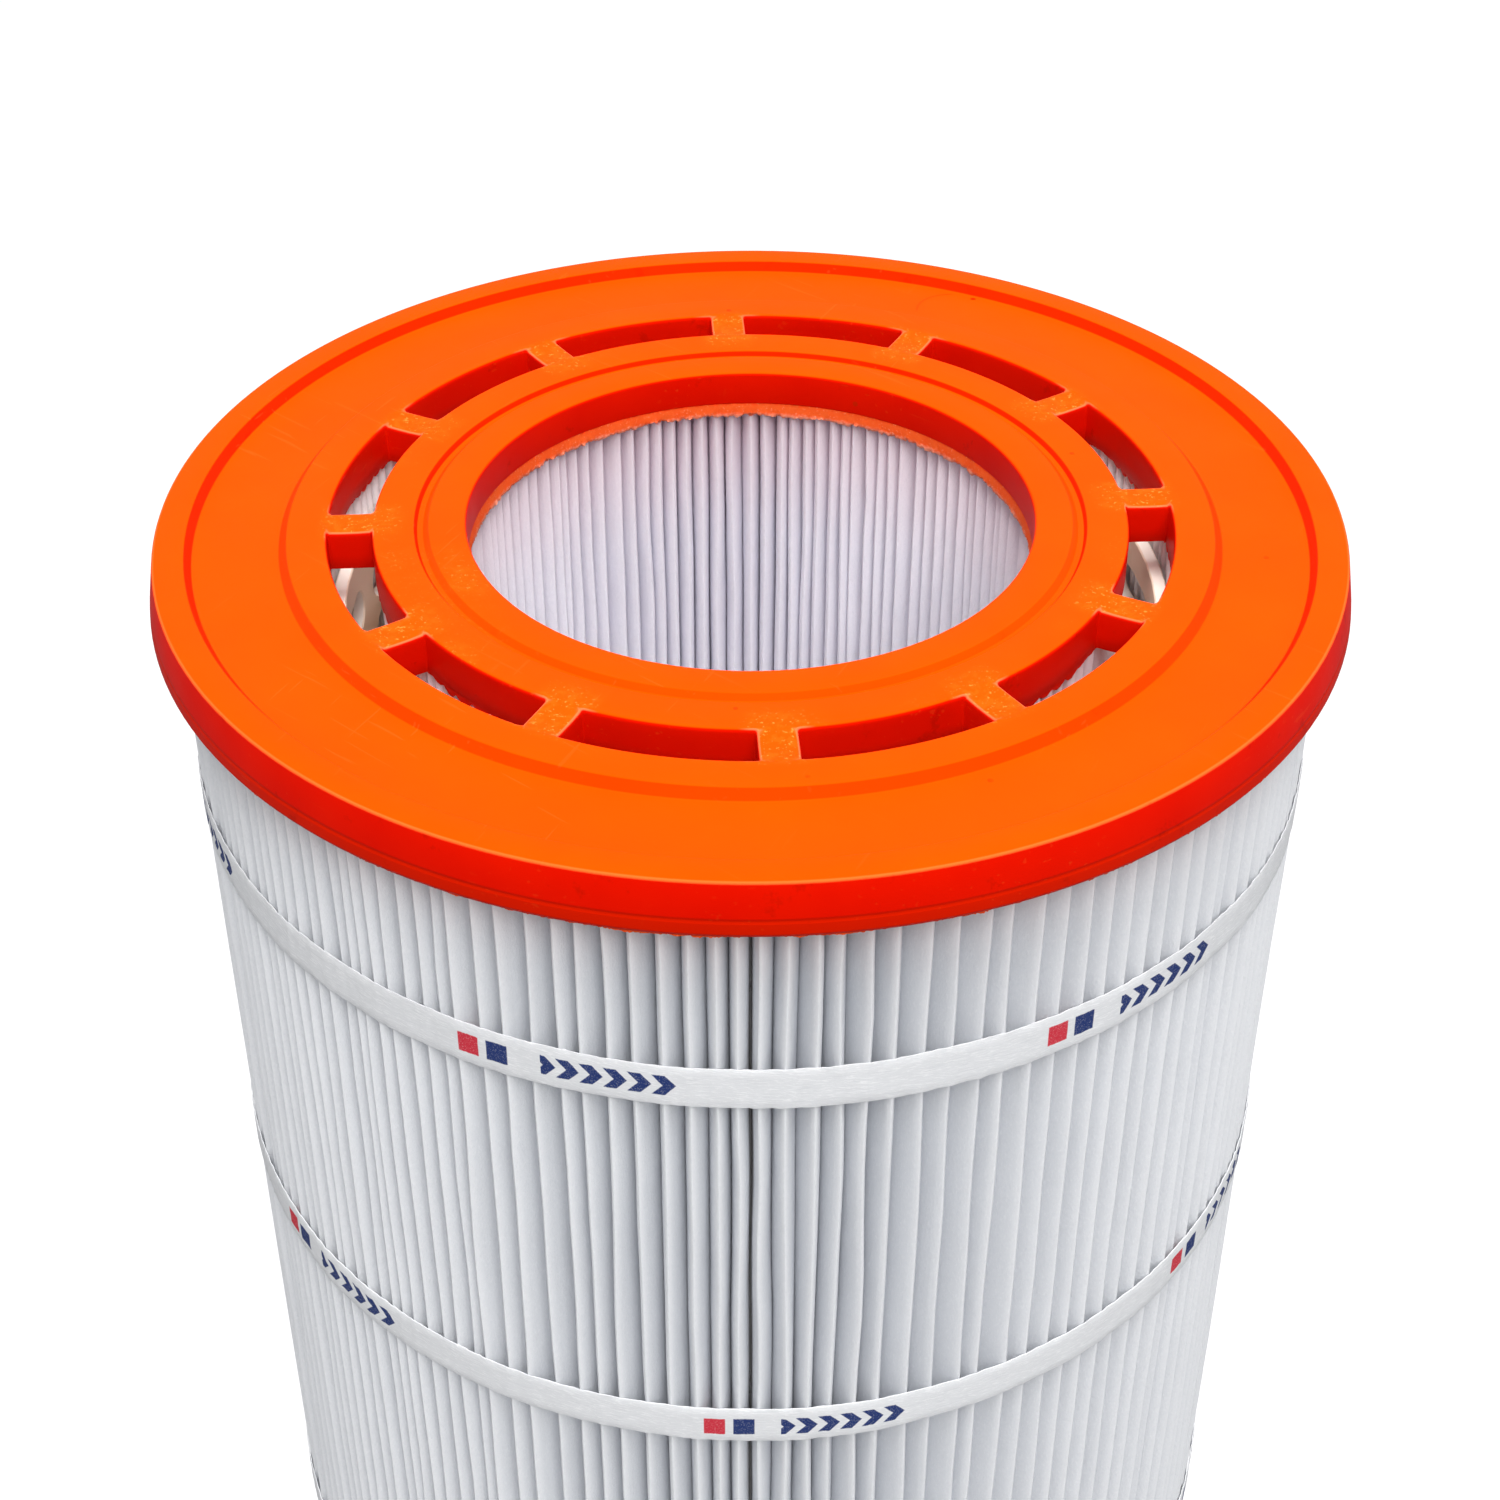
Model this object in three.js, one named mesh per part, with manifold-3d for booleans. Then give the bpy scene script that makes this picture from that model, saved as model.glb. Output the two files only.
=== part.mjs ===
// Pleated filter cartridge for a pool or spa filter tank, in millimetres, +Z up.
// The origin is the centre of the bottom face. Two concentric pleated fabric packs stand
// between two cast polyurethane end caps, bonded into one rigid unit:
//   - the outer pack filters inwards, from the tank into the annular space between the packs;
//   - the inner pack filters outwards, from the open centre bore into the same space;
//   - the filtered water leaves the annular space through the twelve windows of the top cap.
// Slotted support cores stand in the annular space, and four fabric bands hold the outer pleats.
import * as THREE from "three";
import { mergeVertices } from "three/addons/utils/BufferGeometryUtils.js";
import Module from "manifold-3d";

// ---- driving dimensions -------------------------------------------------------------------
const OVERALL_LENGTH = 505;
const CAP_RADIUS = 128.3; // outer edge of the flat top face
const FLARE_RADIUS = 130.0; // widest part of the rim, just above its lower edge
const FLASH_LINE_R = 129.6; // where the fill line runs round the rim
const FLASH_LINE_DEPTH = 7.6;
const BORE_RADIUS = 61.7; // open centre bore through both caps
const CAP_SKIRT = 11.7; // depth of the rim
const CAP_PLATE = 9.8; // thickness of the cap inside the rim
const BORE_WALL = 8.2; // straight part of the bore wall, above its flared lower edge
const BORE_FLARE_R = 62.6;
const CAP_SEGMENTS = 60;
const EDGE = 0.8; // bevel on the outer rim and on the mouth of the bore

const LIP_INNER_R = 121.7; // flat sealing lip round the edge
const CHANNEL_OUTER_R = 120.2; // wide shallow channel inside the lip
const CHANNEL_INNER_R = 102.0;
const CHANNEL_DEPTH = 2.3;
const LAND_OUTER_R = 100.1; // raised land that carries the windows
const LAND_DROP = 0.2; // the land lies a hair under the lip
const GROOVE_OUTER_R = 73.0; // narrow groove between the windows and the bore
const GROOVE_FLOOR_OUTER_R = 72.3;
const GROOVE_FLOOR_INNER_R = 71.1;
const GROOVE_INNER_R = 69.8;
const GROOVE_DEPTH = 1.35;

const WINDOW_COUNT = 12;
const WINDOW_INNER_R = 82.0;
const WINDOW_OUTER_R = 91.6;
const SPOKE_WIDTH = 8.2;
const FIRST_SPOKE_DEG = -86.4;

const OUTER_PLEATS = 166;
const OUTER_PACK_R = 124.6; // outer pleat tips
const OUTER_PACK_INNER_R = 92.4;
const INNER_PLEATS = 114;
const INNER_PACK_R = 81.6;
const INNER_PACK_INNER_R = 62.6;
const FABRIC = 0.5; // pleated polyester fabric thickness
const CLEAR = 0.3; // gap kept between neighbouring pieces

const OUTER_CORE_INNER_R = 88.6;
const OUTER_CORE_R = 91.8;
const OUTER_CORE_TOP_DROP = 19.2; // top of the core below the top face
const INNER_CORE_INNER_R = 82.3;
const INNER_CORE_R = 84.7;
const INNER_CORE_TOP_DROP = 38.4;
const CORE_SEGMENTS = 24;
const CORE_COLUMNS = 12; // openings round each row
const CORE_SLOT_DEG = 24;
const CORE_ROWS = 4; // rows of openings up the core
const CORE_RING = 12; // solid ring between the rows
const CORE_SLOT_CENTRE_DEG = 4.3;

const BAND_DEPTHS = [53.9, 153.9, 284.3, 451.1]; // top face to the centre of each band
const BAND_WIDTH = 10.2;
const BAND_THICKNESS = 0.4;
const BAND_SEGMENTS = 48;

const SEAM_THICKNESS = 0.6; // glued strip that closes each pack into a ring
const OUTER_SEAM_R = [108, 121];
const INNER_SEAM_R = [74.5, 79.5];

// ---- materials ------------------------------------------------------------------------------
const mat = (color, roughness, metalness = 0) =>
  new THREE.MeshStandardMaterial({ color, roughness, metalness });
const orange = mat(0xff5a08, 0.42);
const media = mat(0xe4e8ee, 0.9);
const strap = mat(0xeef1f6, 0.8);
const core = mat(0xf1e3cd, 0.5);
const glue = mat(0xd9d6cc, 0.45);

const RAD = Math.PI / 180;
const polar = (r, a) => new THREE.Vector2(r * Math.cos(a), r * Math.sin(a));

// ---- solids ---------------------------------------------------------------------------------
const wasm = await Module();
wasm.setup();

function solid(geometry) {
  const g = geometry.clone();
  g.deleteAttribute("normal");
  g.deleteAttribute("uv");
  const m = mergeVertices(g, 1e-4);
  return new wasm.Manifold(
    new wasm.Mesh({
      numProp: 3,
      vertProperties: new Float32Array(m.attributes.position.array),
      triVerts: new Uint32Array(m.index.array),
    }),
  );
}

function geometryOf(manifold) {
  const m = manifold.getMesh();
  const g = new THREE.BufferGeometry();
  g.setAttribute("position", new THREE.BufferAttribute(m.vertProperties, 3));
  g.setIndex(new THREE.BufferAttribute(m.triVerts, 1));
  g.computeVertexNormals();
  return g;
}

// A ring turned from a closed [radius, height] profile, which runs counter-clockwise
// in the radius-height plane.
function turned(profile, segments, startDeg = 0) {
  const points = profile.map(([r, z]) => new THREE.Vector2(r, z));
  points.push(points[0].clone());
  const g = new THREE.LatheGeometry(points, segments, startDeg * RAD);
  g.rotateX(Math.PI / 2); // the lathe's own axis is +Y
  return g;
}

// A prism along +Z between two heights.
function prism(shape, z0, z1) {
  const g = new THREE.ExtrudeGeometry(shape, {
    depth: z1 - z0,
    bevelEnabled: false,
    steps: 1,
  });
  g.translate(0, 0, z0);
  return g;
}

// ---- end caps -------------------------------------------------------------------------------
// Written for a cap whose outer face is at height 0 and whose skirt hangs below it.
const capProfile = [
  [BORE_RADIUS, -BORE_WALL],
  [BORE_FLARE_R, -CAP_PLATE],
  [OUTER_PACK_R + 0.4, -CAP_PLATE],
  [OUTER_PACK_R + 0.4, -CAP_SKIRT],
  [FLARE_RADIUS - 0.5, -CAP_SKIRT],
  [FLARE_RADIUS, -CAP_SKIRT + 0.9],
  [FLASH_LINE_R, -FLASH_LINE_DEPTH],
  [CAP_RADIUS, -EDGE],
  [CAP_RADIUS - EDGE, 0],
  [LIP_INNER_R, 0],
  [CHANNEL_OUTER_R, -CHANNEL_DEPTH],
  [CHANNEL_INNER_R, -CHANNEL_DEPTH],
  [LAND_OUTER_R, -LAND_DROP],
  [GROOVE_OUTER_R, -LAND_DROP],
  [GROOVE_FLOOR_OUTER_R, -GROOVE_DEPTH],
  [GROOVE_FLOOR_INNER_R, -GROOVE_DEPTH],
  [GROOVE_INNER_R, -LAND_DROP],
  [BORE_RADIUS + EDGE, -LAND_DROP],
  [BORE_RADIUS, -LAND_DROP - EDGE],
];

// One window: the part of an annular slot between two parallel-sided spokes.
function windowShape(fromDeg, toDeg) {
  const half = SPOKE_WIDTH / 2;
  const lo = (r) => fromDeg * RAD + Math.asin(half / r);
  const hi = (r) => toDeg * RAD - Math.asin(half / r);
  const steps = 6;
  const shape = new THREE.Shape();
  const outer = [];
  for (let i = 0; i <= steps; i++) {
    const a = lo(WINDOW_OUTER_R) + ((hi(WINDOW_OUTER_R) - lo(WINDOW_OUTER_R)) * i) / steps;
    outer.push(polar(WINDOW_OUTER_R, a));
  }
  const inner = [];
  for (let i = 0; i <= steps; i++) {
    const a = hi(WINDOW_INNER_R) + ((lo(WINDOW_INNER_R) - hi(WINDOW_INNER_R)) * i) / steps;
    inner.push(polar(WINDOW_INNER_R, a));
  }
  shape.setFromPoints([...outer, ...inner]);
  return shape;
}

function topCapGeometry() {
  let body = solid(turned(capProfile, CAP_SEGMENTS));
  const pitch = 360 / WINDOW_COUNT;
  for (let i = 0; i < WINDOW_COUNT; i++) {
    const from = FIRST_SPOKE_DEG + i * pitch;
    body = body.subtract(
      solid(prism(windowShape(from, from + pitch), -CAP_PLATE - 2, 2)),
    );
  }
  return geometryOf(body);
}

// The bottom cap has the same rim, lip and channel, no windows and no groove.
function bottomCapGeometry() {
  const plain = capProfile.filter(
    ([r, z]) => !(r >= GROOVE_INNER_R && r <= GROOVE_OUTER_R) || z <= -CAP_PLATE,
  );
  return turned(plain.map(([r, z]) => [r, -z]).reverse(), CAP_SEGMENTS);
}

// ---- pleated packs --------------------------------------------------------------------------
// A zigzag fabric wall of even thickness, closed into a ring.
function pleatPackGeometry(pleats, rOut, rIn, z0, z1) {
  const halfPitch = Math.PI / pleats;
  const run = (halfPitch * (rOut + rIn)) / 2; // sideways run of one flank
  const mitre = FABRIC / Math.sin(Math.atan2(run, rOut - rIn));
  const outside = [];
  const inside = [];
  for (let i = 0; i < pleats; i++) {
    const tip = -Math.PI / 2 + halfPitch + 2 * halfPitch * i;
    const valley = tip + halfPitch;
    outside.push(polar(rOut, tip), polar(rIn + mitre, valley));
    inside.push(polar(rOut - mitre, tip), polar(rIn, valley));
  }
  const shape = new THREE.Shape(outside);
  shape.holes.push(new THREE.Path(inside));
  return prism(shape, z0, z1);
}

// ---- slotted support cores ------------------------------------------------------------------
function coreGeometry(rIn, rOut, z0, z1) {
  let body = solid(
    turned(
      [
        [rIn, z0],
        [rOut, z0],
        [rOut, z1],
        [rIn, z1],
      ],
      CORE_SEGMENTS,
    ),
  );
  const slotHeight = (z1 - z0 - CORE_RING * (CORE_ROWS + 1)) / CORE_ROWS;
  const half = (CORE_SLOT_DEG / 2) * RAD;
  for (let c = 0; c < CORE_COLUMNS; c++) {
    const mid = (CORE_SLOT_CENTRE_DEG + (360 / CORE_COLUMNS) * c) * RAD;
    const shape = new THREE.Shape([
      polar(rIn - 4, mid - half),
      polar(rOut + 4, mid - half),
      polar(rOut + 6, mid),
      polar(rOut + 4, mid + half),
      polar(rIn - 4, mid + half),
    ]);
    for (let r = 0; r < CORE_ROWS; r++) {
      const low = z0 + CORE_RING + r * (slotHeight + CORE_RING);
      body = body.subtract(solid(prism(shape, low, low + slotHeight)));
    }
  }
  return geometryOf(body);
}

// ---- retaining bands ------------------------------------------------------------------------
function bandGeometry(zCentre) {
  const flat = 1 / Math.cos(Math.PI / BAND_SEGMENTS); // the flats clear the pleat tips
  const rIn = (OUTER_PACK_R + CLEAR) * flat;
  return turned(
    [
      [rIn, zCentre - BAND_WIDTH / 2],
      [rIn + BAND_THICKNESS, zCentre - BAND_WIDTH / 2],
      [rIn + BAND_THICKNESS, zCentre + BAND_WIDTH / 2],
      [rIn, zCentre + BAND_WIDTH / 2],
    ],
    BAND_SEGMENTS,
  );
}

// ---- seam strips ----------------------------------------------------------------------------
// A strip standing in the valley at the front, where the two ends of a pack are glued.
function seamGeometry([r0, r1], z0, z1) {
  const g = new THREE.BoxGeometry(SEAM_THICKNESS, r1 - r0, z1 - z0);
  g.translate(0, -(r0 + r1) / 2, (z0 + z1) / 2);
  return g;
}

// ---- assembly -------------------------------------------------------------------------------
const cartridge = new THREE.Group();
cartridge.name = "filter_cartridge";

function add(name, geometry, material, parent = cartridge, z = 0) {
  const mesh = new THREE.Mesh(geometry, material);
  mesh.name = name;
  mesh.position.z = z;
  parent.add(mesh);
  return mesh;
}

const packLow = CAP_PLATE + CLEAR;
const packHigh = OVERALL_LENGTH - CAP_PLATE - CLEAR;

const caps = new THREE.Group();
add("top_end_cap", topCapGeometry(), orange, caps, OVERALL_LENGTH);
add("bottom_end_cap", bottomCapGeometry(), orange, caps);
cartridge.add(caps);

const packs = new THREE.Group();
add(
  "outer_pleat_pack",
  pleatPackGeometry(OUTER_PLEATS, OUTER_PACK_R, OUTER_PACK_INNER_R, packLow, packHigh),
  media,
  packs,
);
add(
  "inner_pleat_pack",
  pleatPackGeometry(INNER_PLEATS, INNER_PACK_R, INNER_PACK_INNER_R, packLow, packHigh),
  media,
  packs,
);
add("outer_seam_strip", seamGeometry(OUTER_SEAM_R, packLow + 4, packHigh - 4), glue, packs);
add("inner_seam_strip", seamGeometry(INNER_SEAM_R, packLow + 4, packHigh - 4), glue, packs);
cartridge.add(packs);

const cores = new THREE.Group();
add(
  "outer_core",
  coreGeometry(OUTER_CORE_INNER_R, OUTER_CORE_R, packLow, OVERALL_LENGTH - OUTER_CORE_TOP_DROP),
  core,
  cores,
);
add(
  "inner_core",
  coreGeometry(INNER_CORE_INNER_R, INNER_CORE_R, packLow, OVERALL_LENGTH - INNER_CORE_TOP_DROP),
  core,
  cores,
);
cartridge.add(cores);

const bands = new THREE.Group();
BAND_DEPTHS.forEach((depth, i) =>
  add("retaining_band_" + (i + 1), bandGeometry(OVERALL_LENGTH - depth), strap, bands),
);
cartridge.add(bands);

export default cartridge;
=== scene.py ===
# Looks for the pleated filter cartridge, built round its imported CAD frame. Metres, +Z up.
# The piece geometry is laid out in millimetres and scaled once, when each mesh is made.
import math

import bpy
import numpy as np
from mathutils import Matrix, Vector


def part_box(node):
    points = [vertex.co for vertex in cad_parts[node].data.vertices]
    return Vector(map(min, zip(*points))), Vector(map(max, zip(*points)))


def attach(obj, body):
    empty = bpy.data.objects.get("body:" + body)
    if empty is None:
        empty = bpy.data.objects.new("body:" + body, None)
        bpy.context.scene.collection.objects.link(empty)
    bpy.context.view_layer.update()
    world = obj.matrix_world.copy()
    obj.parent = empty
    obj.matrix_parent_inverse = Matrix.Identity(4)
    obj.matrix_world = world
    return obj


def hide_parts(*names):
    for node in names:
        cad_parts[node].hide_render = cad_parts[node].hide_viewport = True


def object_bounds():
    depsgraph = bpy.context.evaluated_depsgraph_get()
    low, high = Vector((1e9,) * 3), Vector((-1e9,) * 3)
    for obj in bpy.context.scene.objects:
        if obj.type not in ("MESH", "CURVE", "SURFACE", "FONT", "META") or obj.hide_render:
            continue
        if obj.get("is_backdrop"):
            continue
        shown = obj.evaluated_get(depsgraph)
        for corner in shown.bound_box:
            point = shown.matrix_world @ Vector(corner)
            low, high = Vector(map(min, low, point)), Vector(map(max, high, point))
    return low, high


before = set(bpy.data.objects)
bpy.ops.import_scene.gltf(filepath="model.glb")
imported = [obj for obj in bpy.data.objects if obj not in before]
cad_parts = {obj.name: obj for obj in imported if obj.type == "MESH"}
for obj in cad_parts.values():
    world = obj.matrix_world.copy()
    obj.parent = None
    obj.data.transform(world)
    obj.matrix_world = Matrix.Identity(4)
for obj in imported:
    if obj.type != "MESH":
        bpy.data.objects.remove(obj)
CAD_LO, CAD_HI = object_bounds()

MM = 0.001
TOP = CAD_HI.z * 1000.0  # the top cap's lip plane, in mm
BOT = CAD_LO.z * 1000.0
FLARE = CAD_HI.x * 1000.0  # widest part of the rim
R = FLARE - 2.2  # the radius that the camera distance is measured in

# The same ratios as the CAD part, in mm
BORE_R = 61.7
PLATE = 9.8
SKIRT = 11.7
FACE_R = FLARE - 1.7
LIP_IN, CH_OUT, CH_IN, LAND_OUT = 121.7, 120.2, 102.0, 100.1
CH_DEPTH, LAND_DROP = 2.3, 0.2
GR_OUT, GR_F_OUT, GR_F_IN, GR_IN, GR_DEPTH = 73.0, 72.3, 71.1, 69.8, 1.35
WIN_IN, WIN_OUT, SPOKE_HW, SPOKE0 = 82.0, 91.6, 4.1, -86.4
PACK_O, PACK_I = 124.6, 92.4
IPACK_O, IPACK_I = 81.6, 62.6


# ------------------------------------------------------------------ mesh helpers
def make_mesh(name, verts, quads=None, tris=None, uv=None, smooth_deg=38.0):
    """A mesh object from mm vertices; quads and tris are index arrays."""
    verts = np.asarray(verts, np.float64).reshape(-1, 3) * MM
    quads = np.zeros((0, 4), np.int64) if quads is None else np.asarray(quads, np.int64).reshape(-1, 4)
    tris = np.zeros((0, 3), np.int64) if tris is None else np.asarray(tris, np.int64).reshape(-1, 3)
    # every piece is a closed body: turn it so that its faces point outwards
    fan = np.concatenate([tris, quads[:, [0, 1, 2]], quads[:, [0, 2, 3]]])
    a, b, c = verts[fan[:, 0]], verts[fan[:, 1]], verts[fan[:, 2]]
    if np.einsum("ij,ij->i", a, np.cross(b, c)).sum() < 0:
        quads, tris = quads[:, ::-1], tris[:, ::-1]
    me = bpy.data.meshes.new(name)
    me.vertices.add(len(verts))
    me.vertices.foreach_set("co", verts.astype(np.float32).ravel())
    loops = np.concatenate([quads.ravel(), tris.ravel()]).astype(np.int32)
    me.loops.add(len(loops))
    me.loops.foreach_set("vertex_index", loops)
    nq, nt = len(quads), len(tris)
    me.polygons.add(nq + nt)
    starts = np.concatenate([np.arange(nq) * 4, nq * 4 + np.arange(nt) * 3]).astype(np.int32)
    me.polygons.foreach_set("loop_start", starts)
    if uv is not None:
        layer = me.uv_layers.new(name="SheetMap")
        layer.data.foreach_set("uv", np.asarray(uv, np.float32)[loops].ravel())
    me.polygons.foreach_set("use_smooth", np.ones(nq + nt, bool))
    me.update(calc_edges=True)
    me.validate()
    if smooth_deg < 179:
        me.set_sharp_from_angle(angle=math.radians(smooth_deg))
    ob = bpy.data.objects.new(name, me)
    bpy.context.scene.collection.objects.link(ob)
    return ob


def weld(verts, quads, tris, places=4):
    """Shared vertices by rounding, with faces that collapsed dropped."""
    verts = np.asarray(verts, float)
    _, first, inverse = np.unique(np.round(verts, places), axis=0, return_index=True, return_inverse=True)
    inverse = inverse.reshape(-1)
    v = verts[first]
    q = inverse[np.asarray(quads, np.int64).reshape(-1, 4)]
    t = inverse[np.asarray(tris, np.int64).reshape(-1, 3)]
    extra, keep = [], []
    for row in q:
        u = [row[i] for i in range(4) if row[i] != row[i - 1]]
        if len(u) == 4 and len(set(u)) == 4:
            keep.append(row)
        elif len(set(u)) == 3:
            extra.append(u[:3])
    t = t[(t[:, 0] != t[:, 1]) & (t[:, 1] != t[:, 2]) & (t[:, 0] != t[:, 2])]
    if extra:
        t = np.concatenate([t, np.array(extra)])
    return v, np.array(keep, np.int64).reshape(-1, 4), t


def fillet(points, radii, seg=3):
    """A closed [r, z] profile with each corner rounded to its radius."""
    out = []
    n = len(points)
    for i in range(n):
        p, a, b = (np.array(points[i], float), np.array(points[i - 1], float), np.array(points[(i + 1) % n], float))
        rad = radii[i]
        u, v = a - p, b - p
        lu, lv = np.linalg.norm(u), np.linalg.norm(v)
        u, v = u / lu, v / lv
        cosang = float(np.clip(u @ v, -1, 1))
        half = math.acos(cosang) / 2
        if rad <= 0 or half > math.pi / 2 - 0.02:
            out.append(p)
            continue
        cut = min(rad / math.tan(half), 0.45 * lu, 0.45 * lv)
        rr = cut * math.tan(half)
        c = p + (u + v) / np.linalg.norm(u + v) * (rr / math.sin(half))
        s, e = p + u * cut, p + v * cut
        a0 = math.atan2(s[1] - c[1], s[0] - c[0])
        a1 = math.atan2(e[1] - c[1], e[0] - c[0])
        d = (a1 - a0 + math.pi) % (2 * math.pi) - math.pi
        for k in range(seg + 1):
            t = a0 + d * k / seg
            out.append(c + rr * np.array([math.cos(t), math.sin(t)]))
    return out


class Build:
    def __init__(self):
        self.v, self.q, self.t, self.n = [], [], [], 0

    def add(self, pts):
        pts = np.asarray(pts, float).reshape(-1, 3)
        start = self.n
        self.v.append(pts)
        self.n += len(pts)
        return np.arange(start, self.n)

    def strip(self, a, b, closed=True, flip=False):
        a, b = np.asarray(a), np.asarray(b)
        if closed:
            a2, b2 = np.roll(a, -1), np.roll(b, -1)
        else:
            a, a2, b, b2 = a[:-1], a[1:], b[:-1], b[1:]
        q = np.stack([a, a2, b2, b], -1)
        self.q.append(q[:, ::-1] if flip else q)

    def object(self, name, places=4, **kw):
        v = np.concatenate(self.v)
        q = np.concatenate(self.q) if self.q else np.zeros((0, 4), int)
        t = np.concatenate(self.t) if self.t else np.zeros((0, 3), int)
        v, q, t = weld(v, q, t, places)
        return make_mesh(name, v, q, t, **kw)


def ring(thetas, r, z):
    return np.stack([r * np.cos(thetas), r * np.sin(thetas), np.full_like(thetas, z)], -1)


# ------------------------------------------------------------------ end caps
ARC_MID, SIDE_MID, CORNER = 15, 3, 0.5


def window_points(d):
    """One window's outline in a frame centred on its sector, pushed outwards by d mm. Anticlockwise seen from below: inner arc, upper side, outer arc, lower side."""
    r_in, r_out, hw, rho = WIN_IN - d, WIN_OUT + d, SPOKE_HW - d, CORNER + d

    def corner(r, outer):
        rc = r - rho if outer else r + rho
        c = np.array([math.sqrt(rc * rc - (hw + rho) ** 2), hw + rho])
        d1 = c / np.linalg.norm(c) * (1 if outer else -1)
        d2 = np.array([0.0, -1.0])
        a0, a1 = math.atan2(d1[1], d1[0]), math.atan2(d2[1], d2[0])
        da = (a1 - a0 + math.pi) % (2 * math.pi) - math.pi
        return [c + rho * np.array([math.cos(a0 + da * k / 4), math.sin(a0 + da * k / 4)]) for k in range(5)]

    ci, co = corner(r_in, False), corner(r_out, True)
    rot = math.radians(-15)
    m = np.array([[math.cos(rot), -math.sin(rot)], [math.sin(rot), math.cos(rot)]])
    ci = [m @ p for p in ci]
    co = [m @ p for p in co]
    flip = np.array([1.0, -1.0])

    def arc(c, r):
        a = math.atan2(c[0][1], c[0][0])
        mids = [r * np.array([math.cos(a + (-2 * a) * k / ARC_MID), math.sin(a + (-2 * a) * k / ARC_MID)]) for k in range(1, ARC_MID)]
        return [c[2], c[1], c[0]] + mids + [c[0] * flip, c[1] * flip, c[2] * flip]

    inner, outer = arc(ci, r_in), arc(co, r_out)
    lo, hi = ci[4] * flip, co[4] * flip
    side = [ci[2] * flip, ci[3] * flip, lo] + [lo + (hi - lo) * k / SIDE_MID for k in range(1, SIDE_MID)] + [hi, co[3] * flip, co[2] * flip]
    loop = inner[:-1] + side[:-1] + outer[::-1][:-1] + [p * flip for p in side][::-1][:-1]
    return np.array(loop), np.array(inner), np.array(outer), np.array(side)


_, _in0, _out0, _side0 = window_points(0.5)
_a = np.degrees(np.arctan2(_out0[:, 1], _out0[:, 0]))
SECTOR_T = _a / abs(_a[0]) * 15.0  # angles across one sector, shared by every ring of the cap
SECTOR_T[0], SECTOR_T[-1] = -15.0, 15.0
CAP_T = np.radians(np.concatenate([SPOKE0 + 15 + 30 * k + SECTOR_T[:-1] for k in range(12)]))
RA, RB = 79.6, 94.0
_rad = np.hypot(_side0[:, 0], _side0[:, 1])
SIDE_R = RA + (_rad - _rad[0]) / (_rad[-1] - _rad[0]) * (RB - RA)


def sector_border():
    ia = [RA * np.array([math.cos(math.radians(t)), math.sin(math.radians(t))]) for t in SECTOR_T]
    oa = [RB * np.array([math.cos(math.radians(t)), math.sin(math.radians(t))]) for t in SECTOR_T]
    e = np.array([math.cos(math.radians(15)), math.sin(math.radians(15))])
    side = [r * e for r in SIDE_R]
    side[0], side[-1] = ia[-1], oa[-1]
    flip = np.array([1.0, -1.0])
    loop = ia[:-1] + side[:-1] + oa[::-1][:-1] + [p * flip for p in side][::-1][:-1]
    return np.array(loop)


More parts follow.
